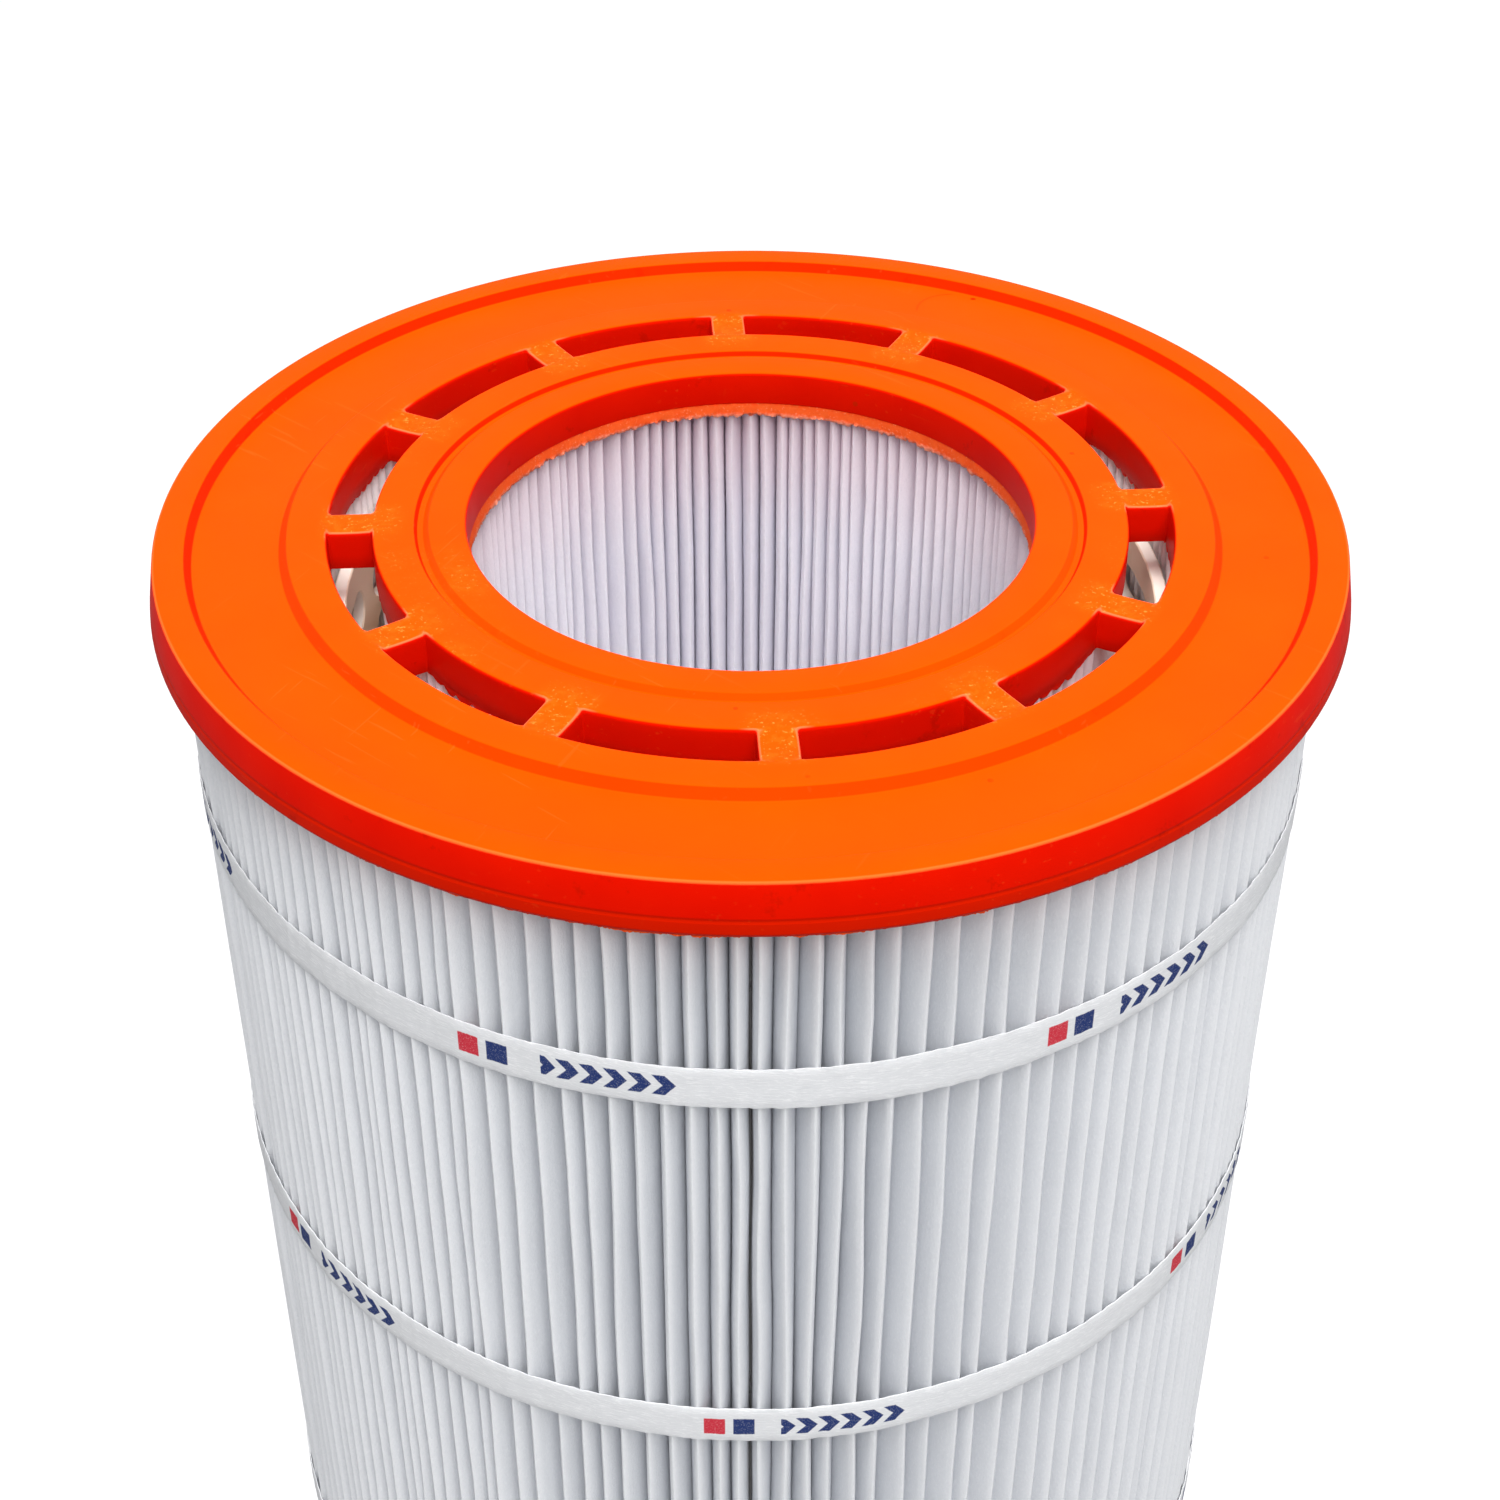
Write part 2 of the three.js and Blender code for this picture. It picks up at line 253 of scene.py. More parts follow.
def cap(name, windows, up):
    """An end cap with its outer face at height 0 and its skirt below; up=False mirrors it."""
    b = Build()
    e = 0.35
    top_in = [(BORE_R + 0.9, -PLATE), (BORE_R, -8.2), (BORE_R, -LAND_DROP), (GR_IN, -LAND_DROP), (GR_F_IN, -GR_DEPTH), (GR_F_OUT, -GR_DEPTH), (GR_OUT, -LAND_DROP)]
    rad_in = [0.3, 0.4, 0.8, 0.35, 0.3, 0.25, 0.35]
    if not windows:
        top_in = [(BORE_R + 0.9, -PLATE), (BORE_R, -8.2), (BORE_R, -LAND_DROP)]
        rad_in = [0.3, 0.4, 0.8]
    out = [
        (LAND_OUT, -LAND_DROP), (CH_IN, -CH_DEPTH), (CH_OUT, -CH_DEPTH), (LIP_IN, 0.0), (FACE_R, 0.0), (FLARE - 0.42, -7.5),
        (FLARE - 0.44, -8.0), (FLARE - 0.24, -8.6), (FLARE, -10.8), (FLARE - 0.5, -SKIRT), (PACK_O + 0.45, -SKIRT), (PACK_O + 0.45, -PLATE),
    ]
    rad_out = [0.5, 0.6, 0.5, 0.45, 0.8, 0.25, 0.3, 0.4, 0.5, 0.3, 0.3, 0.0]
    prof = fillet(top_in + out, rad_in + rad_out, 3)
    prof = [tuple(p) for p in prof]
    # split where the window zone sits: between the last point inside RA and the first outside RB on the top
    k = max(i for i, p in enumerate(prof) if p[0] < RA and p[1] > -2.0 and i < len(prof) // 2)
    inner, outer = prof[: k + 1], prof[k + 1 :]
    steps = 6

    def rings(points):
        return [b.add(ring(CAP_T, r, z)) for r, z in points]

    bottom_in = (RA, -PLATE)
    bottom_out = (RB, -PLATE)
    seq_in = rings([bottom_in] + inner + [(RA, -LAND_DROP)])
    seq_out = rings([(RB, -LAND_DROP)] + outer + [bottom_out])
    for a, c in zip(seq_in[:-1], seq_in[1:]):
        b.strip(a, c)
    for a, c in zip(seq_out[:-1], seq_out[1:]):
        b.strip(a, c)
    if not windows:
        b.strip(seq_in[-1], seq_out[0])
        b.strip(seq_out[-1], seq_in[0])
    else:
        border = sector_border()
        levels = [(0.7, -LAND_DROP), (0.44, -LAND_DROP - 0.05), (0.18, -LAND_DROP - 0.25), (0.05, -LAND_DROP - 0.52), (0.0, -LAND_DROP - 0.9), (0.0, -3.4), (0.0, -6.4), (0.0, -PLATE + 0.3), (0.12, -PLATE + 0.08), (0.3, -PLATE)]
        loops = [(window_points(d)[0], z) for d, z in levels]
        for s in range(12):
            a = math.radians(SPOKE0 + 15 + 30 * s)
            m = np.array([[math.cos(a), math.sin(a)], [-math.sin(a), math.cos(a)]])

            def put(xy, z):
                p = xy @ m
                return b.add(np.column_stack([p, np.full(len(p), z)]))

            rows = []
            top = loops[0][0]
            for f in (0.0, 0.35, 0.72):
                rows.append(put(border * (1 - f) + top * f, -LAND_DROP))
            rows += [put(xy, z) for xy, z in loops]
            bot = loops[-1][0]
            for f in (0.5, 0.0):
                rows.append(put(border * (1 - f) + bot * f, -PLATE))
            for i in range(len(rows) - 1):
                b.strip(rows[i], rows[i + 1])
    v = np.concatenate(b.v)
    if windows:
        rad = np.hypot(v[:, 0], v[:, 1])
        dip = 0.55 * np.clip((rad - 81.7) / 0.9, 0, 1) * np.clip((91.9 - rad) / 0.9, 0, 1)
        v[:, 2] -= np.where(v[:, 2] > -2.0, dip, 0.0)
    if not up:
        v[:, 2] *= -1
        b.q = [q[:, ::-1] for q in b.q]
    v[:, 2] += TOP if up else BOT
    b.v = [v]
    return b.object(name)


# ------------------------------------------------------------------ pleated packs
def waves(rng, count, z, lengths, amps):
    """Smooth random wander along z for each pleat: (rows, count)."""
    out = np.zeros((len(z), count))
    for length, amp in zip(lengths, amps):
        f = 2 * math.pi / (length * rng.uniform(0.75, 1.35, count))
        out += amp * rng.normal(0, 1, count) * np.sin(z[:, None] * f[None] + rng.uniform(0, 2 * math.pi, count))
    return out


def pleats(name, count, r_out, r_in, z0, z1, rows, seed, fine_out, jitter, crease, shoulder, pinch, w_far, start=-math.pi / 2, spread=None):
    """A folded sheet closed into a ring. crease and shoulder are (half width, depth) on the seen folds; pinch is the depth where neighbouring flanks nearly touch."""
    rng = np.random.default_rng(seed)
    z = np.linspace(z0, z1, rows)
    pitch = 2 * math.pi / count
    r_seen = r_out if fine_out else r_in
    r_far = r_in if fine_out else r_out
    sgn = 1.0 if fine_out else -1.0
    wide = shoulder[0]
    # spacing of the seen folds: uneven, never closer than the folds are wide
    gaps = 1 + np.clip(rng.normal(0, jitter, count), -0.36, 0.48)
    gaps += 0.08 * np.sin(np.arange(count) * 0.37 + rng.uniform(0, 6)) + 0.05 * np.sin(np.arange(count) * 0.11)
    if spread is not None:
        where = (np.degrees(pitch * (np.arange(count) + 0.5)) + 180) % 360 - 180
        gaps *= np.interp(where, *spread)
    gaps = np.maximum(gaps, (2 * wide + 0.30) / (pitch * r_seen))
    gaps *= count / gaps.sum()
    tip = start + pitch * (np.cumsum(gaps) - gaps[0] * 0.5)
    ease = np.clip(np.minimum(z - z0, z1 - z) / 18.0, 0.15, 1.0)[:, None]
    tip = tip[None] + ease * waves(rng, count, z, (190, 75, 40), (0.20, 0.13, 0.07)) / r_seen
    least = (2 * wide + 0.16) / r_seen
    for _ in range(4):
        gap = np.roll(tip, -1, 1) - tip
        gap[:, -1] += 2 * math.pi
        short = np.maximum(least - gap, 0) / 2
        tip = tip - short + np.roll(short, 1, 1)
    nxt = np.roll(tip, -1, 1).copy()
    nxt[:, -1] += 2 * math.pi
    even = start + pitch * (np.arange(count) + 1.0)
    valley = 0.5 * (tip + nxt) * 0.6 + 0.4 * even[None]
    valley = valley + waves(rng, count, z, (150, 60), (0.10, 0.06)) / r_far
    lean = rng.normal(0, 0.16, count)[None] + waves(rng, count, z, (200,), (0.05,))
    r_tip = r_seen - sgn * np.clip(np.abs(rng.normal(0, 0.36, count))[None] + ease * waves(rng, count, z, (150, 55), (0.11, 0.07)), -0.05, 1.5)
    r_val = r_far + sgn * np.clip(np.abs(rng.normal(0, 0.3, count))[None] + waves(rng, count, z, (150, 50), (0.1, 0.05)), -0.05, 1.2)
    cols = []

    def put(rr, ang):
        cols.append(np.stack([rr * np.cos(ang), rr * np.sin(ang), np.broadcast_to(z[:, None], rr.shape)], -1))

    r_p = np.full_like(r_tip, r_seen - sgn * pinch)
    f = pinch / abs(r_out - r_in)
    mid_r = (0.5 * (tip + nxt)) * (1 - f) + valley * f
    mid_l = np.roll(mid_r, 1, 1).copy()
    mid_l[:, 0] -= 2 * math.pi
    slit = 0.09 / (r_seen - sgn * pinch)
    cloth = 0.52
    # seen side: from the slit on one flank, over the crease, to the slit on the other, then the valley
    put(r_p, mid_l + slit)
    put(r_tip - sgn * shoulder[1], tip + (lean * 0.4 - wide) / r_seen)
    put(r_tip - sgn * crease[1], tip + (lean - crease[0]) / r_seen)
    put(r_tip, tip + lean / r_seen)
    put(r_tip - sgn * crease[1], tip + (lean + crease[0]) / r_seen)
    put(r_tip - sgn * shoulder[1], tip + (lean * 0.4 + wide) / r_seen)
    put(r_p, mid_r - slit)
    put(r_val + sgn * (w_far * 2 + 0.4), valley)
    # hidden side: inside of the crease and the far fold
    put(r_p, mid_l + slit + cloth / r_p)
    put(r_tip - sgn * (crease[1] + 0.85), tip + lean / r_seen)
    put(r_p, mid_r - slit - cloth / r_p)
    for a in (180, 138, 90, 42, 0):
        put(r_val + sgn * w_far * (1 - math.sin(math.radians(a))), valley + w_far * math.cos(math.radians(a)) / r_far)
    arr = np.stack(cols, 2)
    na, k = 8, arr.shape[2]
    verts = arr.reshape(-1, 3)
    i = np.arange(count)
    i2 = (i + 1) % count
    a_pairs = [(i, j, i, j + 1) for j in range(na - 1)] + [(i, na - 1, i2, 0)]
    b_pairs = [(i, j, i, j + 1) for j in range(na, k - 1)] + [(i, k - 1, i2, na)]
    quads = []
    r0 = np.arange(rows - 1)[:, None]
    for side, pairs in ((False, a_pairs), (True, b_pairs)):
        for ia, ja, ib, jb in pairs:
            p = r0 * count * k + ia[None] * k + ja
            q = r0 * count * k + ib[None] * k + jb
            up = count * k
            f4 = np.stack([p, q, q + up, p + up], -1).reshape(-1, 4)
            quads.append(f4[:, ::-1] if side else f4)
    tris = []
    for row, turn in ((0, True), (rows - 1, False)):
        o = row * count * k
        A = [o + i * k + j for j in range(na)]
        A0n = o + i2 * k
        B = [o + i * k + j for j in range(na, k)]
        B0n = o + i2 * k + na
        group = [(B[0], A[0], A[1]), (B[0], A[1], B[1]), (B[1], A[1], A[2]), (B[1], A[2], A[3]), (B[1], A[3], A[4]),
                 (B[1], A[4], A[5]), (B[1], A[5], B[2]), (B[2], A[5], A[6]), (B[2], A[6], B[3]), (B[3], A[6], A[7]),
                 (B[3], A[7], B[4]), (B[4], A[7], B[5]), (B[5], A[7], B[6]), (B[6], A[7], B[7]), (A[7], A0n, B[7]), (A0n, B0n, B[7])]
        for g in group:
            t = np.stack(g, -1)
            tris.append(t[:, ::-1] if turn else t)
    quads, tris = np.concatenate(quads), np.concatenate(tris)
    if not fine_out:
        quads, tris = quads[:, ::-1], tris[:, ::-1]
    return make_mesh(name, verts, quads, tris, smooth_deg=48), tip + lean / r_seen, r_tip, z


# ------------------------------------------------------------------ support cores
def core_grid(name, r_in, r_out, z0, z1, first_row, pitch_z, slot_h, slot_deg, centre_deg, columns=12, oval=1.0):
    """A moulded tube with rows of round ended slots; each cell runs from its border to the slot's outline."""
    rows_n = int((first_row - slot_h / 2 - z0 - 4) // pitch_z) + 1
    mids = [first_row - pitch_z * i for i in range(rows_n)]
    half = 180.0 / columns
    rm = (r_in + r_out) / 2
    cr = slot_h / 2
    xc = slot_deg / 2 - math.degrees(cr / rm)

    def outline(zc, zl, zh):
        loop, border = [], []
        for side in (1, -1):
            for k in range(9):
                a = math.radians(-90 + 22.5 * k)
                x = xc + math.degrees(cr * math.cos(a) / rm)
                loop.append((side * x, zc + side * cr * math.sin(a)))
                bx = xc if k in (0, 8) else (xc + half) / 2 if k in (1, 7) else half
                bz = {0: zl, 1: zl, 2: zl, 3: (zl + zc) / 2, 4: zc, 5: (zh + zc) / 2, 6: zh, 7: zh, 8: zh}[k]
                border.append((side * bx, bz if side > 0 else zl + zh - bz))
            for k in (1, 2, 3):
                x = side * xc * (1 - k / 2)
                loop.append((x, zc + side * cr))
                border.append((x, zh if side > 0 else zl))
        return loop, border

    b = Build()

    def put(points, r, c):
        p = np.array(points)
        a = np.radians(centre_deg + 2 * half * c + p[:, 0])
        return b.add(np.column_stack([r * np.cos(a) * oval, r * np.sin(a), p[:, 1]]))

    bev = 0.35
    for zc in mids:
        loop, border = outline(zc, zc - pitch_z / 2, zc + pitch_z / 2)
        grown = [(x * (1 + 0.0), z) for x, z in loop]
        g = []
        for x, z in grown:
            dx, dz = (x - math.copysign(min(abs(x), xc), x)), z - zc
            n = math.hypot(math.radians(dx) * rm, dz)
            g.append((x + math.degrees(bev * (math.radians(dx) * rm) / n / rm), z + bev * dz / n))
        for c in range(columns):
            o0, o1, o2 = put(border, r_out, c), put(g, r_out, c), put(loop, r_out - bev, c)
            i2, i1, i0 = put(loop, r_in + bev, c), put(g, r_in, c), put(border, r_in, c)
            for u, v in ((o0, o1), (o1, o2), (o2, i2), (i2, i1), (i1, i0)):
                b.strip(u, v)
    stations = [-half, -(xc + half) / 2, -xc, -xc / 2, 0, xc / 2, xc, (xc + half) / 2]
    th = np.radians(np.concatenate([centre_deg + 2 * half * c + np.array(stations) for c in range(columns)]))

    def band_ring(r, z):
        p = ring(th, r, z)
        p[:, 0] *= oval
        return b.add(p)

    top, low = mids[0] + pitch_z / 2, mids[-1] - pitch_z / 2
    up = [band_ring(r_out, top), band_ring(r_out, z1 - 0.3), band_ring(r_out - 0.3, z1), band_ring(r_in + 0.3, z1), band_ring(r_in, z1 - 0.3), band_ring(r_in, top)]
    dn = [band_ring(r_in, low), band_ring(r_in, z0), band_ring(r_out, z0), band_ring(r_out, low)]
    for seq in (up, dn):
        for u, v in zip(seq[:-1], seq[1:]):
            b.strip(u, v)
    return b.object(name, places=3, smooth_deg=40)


# ------------------------------------------------------------------ retaining bands
def band(name, zc, tips, r_tips, zrows, seed, lap_deg):
    """A fabric strip pulled round the pleat tips: flat between tips, with a lapped and welded end."""
    rng = np.random.default_rng(seed)
    row = int(np.argmin(np.abs(zrows - zc)))
    ang, rad = tips[row], r_tips[row]
    order = np.argsort(ang)
    ang, rad = ang[order], rad[order]
    sub = 4
    nxt = np.roll(ang, -1).copy()
    nxt[-1] += 2 * math.pi
    t = (ang[:, None] + (nxt - ang)[:, None] * (np.arange(sub) / sub)[None]).ravel()
    # the strip touches the proud tips and hangs nearly straight between them
    base = PACK_O + 0.30
    tip_r = np.maximum(rad + 0.12, base - 0.55)
    tip_r = 0.5 * tip_r + 0.25 * (np.roll(tip_r, 1) + np.roll(tip_r, -1))
    nr = np.roll(tip_r, -1)
    fr = (np.arange(sub) / sub)[None]
    rr = (tip_r[:, None] * (1 - fr) + nr[:, None] * fr - 0.10 * np.sin(math.pi * fr)).ravel() + 0.28
    n = len(t)
    width = 10.2
    across = np.array([-0.5, -0.46, -0.28, -0.09, 0.09, 0.28, 0.46, 0.5])
    th = 0.32
    edge_lo = 0.10 * np.sin(t * 9 + rng.uniform(0, 6)) + rng.normal(0, 0.05, n)
    edge_hi = 0.10 * np.sin(t * 7 + rng.uniform(0, 6)) + rng.normal(0, 0.05, n)
    drift = 0.28 * np.sin(t + rng.uniform(0, 6)) + 0.12 * np.sin(3 * t + rng.uniform(0, 6))
    lap = np.radians(lap_deg)
    d = (t - lap + math.pi) % (2 * math.pi) - math.pi
    lift = 0.34 / (1 + np.exp((np.abs(d) - 0.085) * 260))
    cols_out, cols_in = [], []
    wob = rng.normal(0, 1, (len(across), n)) * 0.035
    for i, a in enumerate(across):
        z = zc + drift + a * width + (edge_lo if a < -0.4 else edge_hi if a > 0.4 else 0)
        curl = 0.10 * (abs(a) / 0.5) ** 4
        r_out = rr + th / 2 + wob[i] - curl * 0.5 + lift
        r_in = rr - th / 2 + wob[i] - curl * 0.5
        if abs(a) == 0.5:
            r_out, r_in = r_out - 0.10, r_in + 0.05
        cols_out.append(np.stack([r_out * np.cos(t), r_out * np.sin(t), z], -1))
        cols_in.append(np.stack([r_in * np.cos(t), r_in * np.sin(t), z], -1))
    v = np.concatenate(cols_out + cols_in)
    m = len(across)
    quads = []
    j = np.arange(n)
    j2 = (j + 1) % n
    for i in range(m - 1):
        quads.append(np.stack([i * n + j, i * n + j2, (i + 1) * n + j2, (i + 1) * n + j], -1))
        o = m * n
        quads.append(np.stack([o + (i + 1) * n + j, o + (i + 1) * n + j2, o + i * n + j2, o + i * n + j], -1))
    quads.append(np.stack([m * n + j, m * n + j2, j2, j], -1))
    o = (m - 1) * n
    quads.append(np.stack([o + j, o + j2, m * n + o + j2, m * n + o + j], -1))
    return make_mesh(name, v, np.concatenate(quads), smooth_deg=50)


# ------------------------------------------------------------------ potting edges
def ragged_ring(name, r0, z_top, r1, z_low, seed, segs, rag, thick, inward, fuzz, folds=0, scallop=0.0):
    """A thin ring of resin-soaked fabric below a cast edge, with a ragged lower rim."""
    rng = np.random.default_rng(seed)
    t = np.linspace(0, 2 * math.pi, segs, endpoint=False)

    def wander(scale, amp):
        k = np.arange(1, segs // 2)
        spec = np.exp(-((k / scale) ** 2)) * rng.normal(0, 1, len(k))
        ph = rng.uniform(0, 2 * math.pi, len(k))
        full = np.zeros(segs // 2 + 1, complex)
        full[1 : len(k) + 1] = spec * np.exp(1j * ph)
        y = np.fft.irfft(full, segs)
        return amp * y / (y.std() + 1e-9)

    low = z_low + wander(60, rag * 0.6) + wander(300, rag * 0.5) + rng.normal(0, rag * 0.35, segs)
    if folds:
        low = low - scallop * np.abs(np.sin(folds / 2 * t + wander(20, 0.5))) * (0.55 + 0.45 * np.clip(wander(30, 0.8), -1, 1))
    fr = np.array([0.0, 0.25, 0.5, 0.72, 0.88, 1.0])
    front, back = [], []
    for i, f in enumerate(fr):
        z = z_top + (low - z_top) * f
        bump = (wander(250, fuzz) + rng.normal(0, fuzz * 0.7, segs)) * (0.15 + f * 0.85 if i else 0)
        r = r0 + (r1 - r0) * f + bump
        if i == len(fr) - 1:
            r = r + (thick * 0.4 if inward else -thick * 0.4)
        rb = r0 + (r1 - r0) * f + (thick if inward else -thick)
        front.append(np.stack([r * np.cos(t), r * np.sin(t), z], -1))
        back.append(np.stack([rb * np.cos(t), rb * np.sin(t), z], -1))
    v = np.concatenate(front + back)
    m, n = len(fr), segs
    j = np.arange(n)
    j2 = (j + 1) % n
    quads = []
    for i in range(m - 1):
        quads.append(np.stack([i * n + j, i * n + j2, (i + 1) * n + j2, (i + 1) * n + j], -1))
        o = m * n
        quads.append(np.stack([o + (i + 1) * n + j, o + (i + 1) * n + j2, o + i * n + j2, o + i * n + j], -1))
    quads.append(np.stack([m * n + j, m * n + j2, j2, j], -1))
    o = (m - 1) * n
    quads.append(np.stack([o + j, o + j2, m * n + o + j2, m * n + o + j], -1))
    q = np.concatenate(quads)
    return make_mesh(name, v, q if inward else q[:, ::-1], smooth_deg=80)


# ------------------------------------------------------------------ materials
class Nodes:
    """A small wrapper that makes node trees readable."""

    def __init__(self, name):
        self.m = bpy.data.materials.new(name)
        self.m.use_nodes = True
        self.t = self.m.node_tree
        self.t.nodes.clear()
        self.out = self.t.nodes.new("ShaderNodeOutputMaterial")

    def n(self, kind, props=None, **inputs):
        node = self.t.nodes.new(kind)
        for k, v in (props or {}).items():
            setattr(node, k, v)
        for k, v in inputs.items():
            self.set(node, k, v)
        return node

    def set(self, node, key, v):
        sock = node.inputs[int(key[1:])] if key[0] == "i" and key[1:].isdigit() else node.inputs[key.replace("_", " ")]
        if hasattr(v, "is_output") or isinstance(v, bpy.types.NodeSocket):
            self.t.links.new(v, sock)
        else:
            sock.default_value = v

    def math(self, op, a, b=None, c=None, clamp=False):
        node = self.t.nodes.new("ShaderNodeMath")
        node.operation = op
        node.use_clamp = clamp
        for i, v in enumerate((a, b, c)):
            if v is None:
                continue
            if isinstance(v, bpy.types.NodeSocket):
                self.t.links.new(v, node.inputs[i])
            else:
                node.inputs[i].default_value = v
        return node.outputs[0]

    def ramp(self, v, lo, hi, a=0.0, b=1.0, smooth=True):
        node = self.t.nodes.new("ShaderNodeMapRange")
        node.interpolation_type = "SMOOTHSTEP" if smooth else "LINEAR"
        self.t.links.new(v, node.inputs["Value"])
        node.inputs["From Min"].default_value = lo
        node.inputs["From Max"].default_value = hi
        node.inputs["To Min"].default_value = a
        node.inputs["To Max"].default_value = b
        return node.outputs["Result"]

    def noise(self, vec, scale, detail=3.0, rough=0.55, kind="Fac"):
        node = self.t.nodes.new("ShaderNodeTexNoise")
        self.t.links.new(vec, node.inputs["Vector"])
        node.inputs["Scale"].default_value = scale
        node.inputs["Detail"].default_value = detail
        node.inputs["Roughness"].default_value = rough
        return node.outputs[0]

    def mix(self, f, a, b):
        node = self.t.nodes.new("ShaderNodeMix")
        node.data_type = "RGBA"
        for sock, v in ((node.inputs[0], f), (node.inputs[6], a), (node.inputs[7], b)):
            if isinstance(v, bpy.types.NodeSocket):
                self.t.links.new(v, sock)
            else:
                sock.default_value = v if not isinstance(v, tuple) or len(v) != 3 else (*v, 1.0)
        return node.outputs[2]

    def vec(self, x, y, z):
        node = self.t.nodes.new("ShaderNodeCombineXYZ")
        for i, v in enumerate((x, y, z)):
            if isinstance(v, bpy.types.NodeSocket):
                self.t.links.new(v, node.inputs[i])
            else:
                node.inputs[i].default_value = v
        return node.outputs[0]

    def xyz(self, v):
        node = self.t.nodes.new("ShaderNodeSeparateXYZ")
        self.t.links.new(v, node.inputs[0])
        return node.outputs[0], node.outputs[1], node.outputs[2]

    def position(self):
        return self.t.nodes.new("ShaderNodeTexCoord").outputs["Object"]

    def normal(self):
        return self.t.nodes.new("ShaderNodeNewGeometry").outputs["Normal"]

    def bump(self, height, strength, distance, normal=None):
        node = self.t.nodes.new("ShaderNodeBump")
        node.inputs["Strength"].default_value = strength
        node.inputs["Distance"].default_value = distance
        self.t.links.new(height, node.inputs["Height"])
        if normal is not None:
            self.t.links.new(normal, node.inputs["Normal"])
        return node.outputs[0]

    def finish(self, **inputs):
        p = self.t.nodes.new("ShaderNodeBsdfPrincipled")
        for k, v in inputs.items():
            self.set(p, k, v)
        self.t.links.new(p.outputs[0], self.out.inputs[0])
        return self.m


def cap_material(name):
    m = Nodes(name)
    pos = m.position()
    x, y, z = m.xyz(pos)
    nx, ny, nz = m.xyz(m.normal())
    flat = m.math("ABSOLUTE", nz)
    f = m.ramp(flat, 0.42, 0.985)
    # walls and slopes are painted a darker red than the flat faces, by the normal's tilt: painted shade
    wall_painted_shade = m.mix(m.noise(pos, 60, 2.0), (0.60, 0.003, 0.0), (0.70, 0.007, 0.0))
    face = m.mix(m.noise(pos, 45, 3.0), (1.0, 0.050, 0.0), (1.0, 0.064, 0.0))
    step = m.mix(m.ramp(f, 0.0, 1.0), wall_painted_shade, face)
    # frosted, bubbly patches where the mould was gated: on the spokes and beside them
    r = m.math("SQRT", m.math("ADD", m.math("MULTIPLY", x, x), m.math("MULTIPLY", y, y)))
    ring_mask = m.math("MULTIPLY", m.ramp(r, 0.0735, 0.0800), m.ramp(r, 0.0945, 0.0900))
    ang = m.math("ARCTAN2", y, x)
    spoke = m.math("COSINE", m.math("MULTIPLY", m.math("SUBTRACT", ang, math.radians(SPOKE0)), 12.0))
    spoke_mask = m.ramp(spoke, 0.42, 0.86)
    patch = m.ramp(m.noise(pos, 42, 2.0), 0.50, 0.62)
    lower_left = m.math("MULTIPLY", m.ramp(x, -0.045, -0.062), m.ramp(y, -0.012, -0.028))
    lower_left = m.math("MULTIPLY", lower_left, m.math("MULTIPLY", m.ramp(r, 0.060, 0.066), m.ramp(r, 0.094, 0.088)))
    where = m.math("MAXIMUM", m.math("MULTIPLY", ring_mask, m.math("MAXIMUM", spoke_mask, m.math("MULTIPLY", patch, 0.18))), m.math("MULTIPLY", lower_left, m.math("ADD", 0.15, m.math("MULTIPLY", patch, 0.7))))
    where = m.math("MULTIPLY", where, m.ramp(nz, 0.6, 0.95))
    grain = m.ramp(m.noise(pos, 1050, 2.0, 0.6), 0.60, 0.70)
    bubbles_and_glints = m.math("MULTIPLY", where, grain)
    mottle = m.ramp(m.noise(pos, 420, 3.0, 0.65), 0.46, 0.62)
    colour = m.mix(m.math("MULTIPLY", where, 0.28), step, (1.0, 0.090, 0.002))
    colour = m.mix(m.math("MULTIPLY", m.math("MULTIPLY", where, mottle), 0.20), colour, (1.0, 0.14, 0.008))
    # the bubbles' bright dots are painted highlights; the same mask also gives the bubbles their real roughness and
    # bump
    colour = m.mix(m.math("MULTIPLY", bubbles_and_glints, 0.60), colour, (1.0, 0.25, 0.04))
    # a painted highlight along the lip's rounded outer edge
    lip_edge_highlight = m.math("MULTIPLY", m.math("MULTIPLY", m.ramp(nz, 0.30, 0.62), m.ramp(nz, 0.985, 0.86)), m.ramp(r, 0.1262, 0.1270))
    colour = m.mix(m.math("MULTIPLY", lip_edge_highlight, 0.55), colour, (1.0, 0.16, 0.03))
    dx, dy = m.math("SUBTRACT", x, 0.0504), m.math("SUBTRACT", y, 0.0985)
    away = m.math("SQRT", m.math("ADD", m.math("MULTIPLY", dx, dx), m.math("MULTIPLY", dy, dy)))
    arc = m.math("MULTIPLY", m.ramp(away, 0.00845, 0.00875), m.ramp(away, 0.00925, 0.00895))
    arc = m.math("MULTIPLY", m.math("MULTIPLY", arc, m.ramp(dx, 0.0016, -0.0010)), m.ramp(dy, -0.0012, 0.0012))
    colour = m.mix(m.math("MULTIPLY", arc, 0.55), colour, (0.90, 0.022, 0.0))
    px, py = m.math("SUBTRACT", x, 0.0560), m.math("SUBTRACT", y, 0.1048)
    pit = m.ramp(m.math("SQRT", m.math("ADD", m.math("MULTIPLY", px, px), m.math("MULTIPLY", m.math("MULTIPLY", py, py), 1.6))), 0.00085, 0.00045)
    colour = m.mix(pit, colour, (0.62, 0.006, 0.0))
    # rounded spoke edges catch the light
    edge_lit = m.math("MULTIPLY", m.math("MULTIPLY", m.ramp(nz, 0.45, 0.70), m.ramp(nz, 0.985, 0.90)), m.math("MULTIPLY", ring_mask, spoke_mask))
    colour = m.mix(m.math("MULTIPLY", edge_lit, 0.40), colour, (1.0, 0.24, 0.11))
